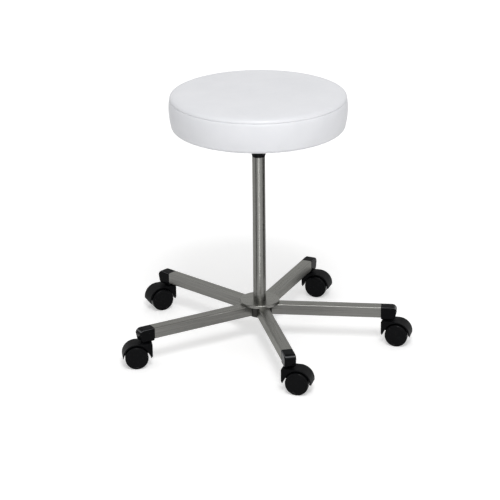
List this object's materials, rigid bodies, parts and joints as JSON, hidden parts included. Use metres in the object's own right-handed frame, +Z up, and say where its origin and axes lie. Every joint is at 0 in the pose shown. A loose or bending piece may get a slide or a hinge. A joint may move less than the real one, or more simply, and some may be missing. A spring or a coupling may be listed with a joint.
{
  "type": "rolling stool",
  "caption": "Treatment-room rolling stool: round padded seat on a screw spindle, plain steel column, star base of square tubes, hooded casters. Turning the seat sets its height.",
  "frame": {"origin": "on the floor, under the axis of the column", "axes": "+Z up along the column; -Y along the first arm, which points at the viewer"},
  "size_m": [0.6418, 0.575, 0.5653],
  "materials": {
    "white_vinyl": "satin",
    "seat_foam": "matte",
    "plywood": "matte",
    "stainless_steel": "satin",
    "spindle_steel": "satin",
    "zinc_steel": "satin",
    "black_steel": "satin",
    "black_casting": "matte",
    "black_plastic": "matte",
    "caster_plastic": "satin",
    "wheel_plastic": "satin"
  },
  "bodies": {
    "base": {"column_tube": "stainless_steel", "spindle_nut": "black_plastic", "hub_disc": "stainless_steel", "hub_core": "stainless_steel", "hub_cap": "black_plastic", "arm_1": "stainless_steel", "arm_2": "stainless_steel", "arm_3": "stainless_steel", "arm_4": "stainless_steel", "arm_5": "stainless_steel", "end_cap_1": "black_plastic", "end_cap_2": "black_plastic", "end_cap_3": "black_plastic", "end_cap_4": "black_plastic", "end_cap_5": "black_plastic", "caster_stem_1": "black_steel", "caster_stem_2": "black_steel", "caster_stem_3": "black_steel", "caster_stem_4": "black_steel", "caster_stem_5": "black_steel"},
    "guide": {"guide_puck": "black_plastic"},
    "seat": {"seat_cover": "white_vinyl", "seat_foam": "seat_foam", "seat_board": "plywood", "t_nuts": "zinc_steel", "seat_screws": "zinc_steel", "seat_carrier": "black_casting", "spindle": "spindle_steel", "puck_screw": "zinc_steel"},
    "caster_1": {"caster_hood_1": "caster_plastic", "caster_axle_1": "zinc_steel"},
    "wheel_1a": {"wheel_1a": "wheel_plastic"},
    "wheel_1b": {"wheel_1b": "wheel_plastic"},
    "caster_2": {"caster_hood_2": "caster_plastic", "caster_axle_2": "zinc_steel"},
    "wheel_2a": {"wheel_2a": "wheel_plastic"},
    "wheel_2b": {"wheel_2b": "wheel_plastic"},
    "caster_3": {"caster_hood_3": "caster_plastic", "caster_axle_3": "zinc_steel"},
    "wheel_3a": {"wheel_3a": "wheel_plastic"},
    "wheel_3b": {"wheel_3b": "wheel_plastic"},
    "caster_4": {"caster_hood_4": "caster_plastic", "caster_axle_4": "zinc_steel"},
    "wheel_4a": {"wheel_4a": "wheel_plastic"},
    "wheel_4b": {"wheel_4b": "wheel_plastic"},
    "caster_5": {"caster_hood_5": "caster_plastic", "caster_axle_5": "zinc_steel"},
    "wheel_5a": {"wheel_5a": "wheel_plastic"},
    "wheel_5b": {"wheel_5b": "wheel_plastic"}
  },
  "joints": [
    {"name": "seat_lift", "type": "slide", "parent": "base", "child": "guide", "axis": [0, 0, 1], "range_m": [0, 0.128]},
    {"name": "seat_turn", "type": "hinge", "parent": "guide", "child": "seat", "pos_m": [0, 0, 0.4], "axis": [0, 0, 1], "range_deg": [0, 5760]},
    {"name": "caster_swivel_1", "type": "hinge", "parent": "base", "child": "caster_1", "pos_m": [0, -0.2815, 0.05], "axis": [0, 0, 1], "continuous": true},
    {"name": "wheel_spin_1a", "type": "hinge", "parent": "caster_1", "child": "wheel_1a", "pos_m": [0.0196, -0.29149, 0.025], "axis": [0.454, 0.891, 0], "continuous": true},
    {"name": "wheel_spin_1b", "type": "hinge", "parent": "caster_1", "child": "wheel_1b", "pos_m": [0.0196, -0.29149, 0.025], "axis": [0.454, 0.891, 0], "continuous": true},
    {"name": "caster_swivel_2", "type": "hinge", "parent": "base", "child": "caster_2", "pos_m": [0.26772, -0.08699, 0.05], "axis": [0, 0, 1], "continuous": true},
    {"name": "wheel_spin_2a", "type": "hinge", "parent": "caster_2", "child": "wheel_2a", "pos_m": [0.28732, -0.09698, 0.025], "axis": [0.454, 0.891, 0], "continuous": true},
    {"name": "wheel_spin_2b", "type": "hinge", "parent": "caster_2", "child": "wheel_2b", "pos_m": [0.28732, -0.09698, 0.025], "axis": [0.454, 0.891, 0], "continuous": true},
    {"name": "caster_swivel_3", "type": "hinge", "parent": "base", "child": "caster_3", "pos_m": [0.16546, 0.22774, 0.05], "axis": [0, 0, 1], "continuous": true},
    {"name": "wheel_spin_3a", "type": "hinge", "parent": "caster_3", "child": "wheel_3a", "pos_m": [0.18451, 0.21674, 0.025], "axis": [0.5, 0.866, 0], "continuous": true},
    {"name": "wheel_spin_3b", "type": "hinge", "parent": "caster_3", "child": "wheel_3b", "pos_m": [0.18451, 0.21674, 0.025], "axis": [0.5, 0.866, 0], "continuous": true},
    {"name": "caster_swivel_4", "type": "hinge", "parent": "base", "child": "caster_4", "pos_m": [-0.16546, 0.22774, 0.05], "axis": [0, 0, 1], "continuous": true},
    {"name": "wheel_spin_4a", "type": "hinge", "parent": "caster_4", "child": "wheel_4a", "pos_m": [-0.1869, 0.22279, 0.025], "axis": [0.225, -0.9744, 0], "continuous": true},
    {"name": "wheel_spin_4b", "type": "hinge", "parent": "caster_4", "child": "wheel_4b", "pos_m": [-0.1869, 0.22279, 0.025], "axis": [0.225, -0.9744, 0], "continuous": true},
    {"name": "caster_swivel_5", "type": "hinge", "parent": "base", "child": "caster_5", "pos_m": [-0.26772, -0.08699, 0.05], "axis": [0, 0, 1], "continuous": true},
    {"name": "wheel_spin_5a", "type": "hinge", "parent": "caster_5", "child": "wheel_5a", "pos_m": [-0.28967, -0.08545, 0.025], "axis": [-0.0698, -0.9976, 0], "continuous": true},
    {"name": "wheel_spin_5b", "type": "hinge", "parent": "caster_5", "child": "wheel_5b", "pos_m": [-0.28967, -0.08545, 0.025], "axis": [-0.0698, -0.9976, 0], "continuous": true}
  ],
  "couplings": [
    {"joint": "seat_lift", "follows": "seat_turn", "m_per_rad": 0.0012732}
  ]
}
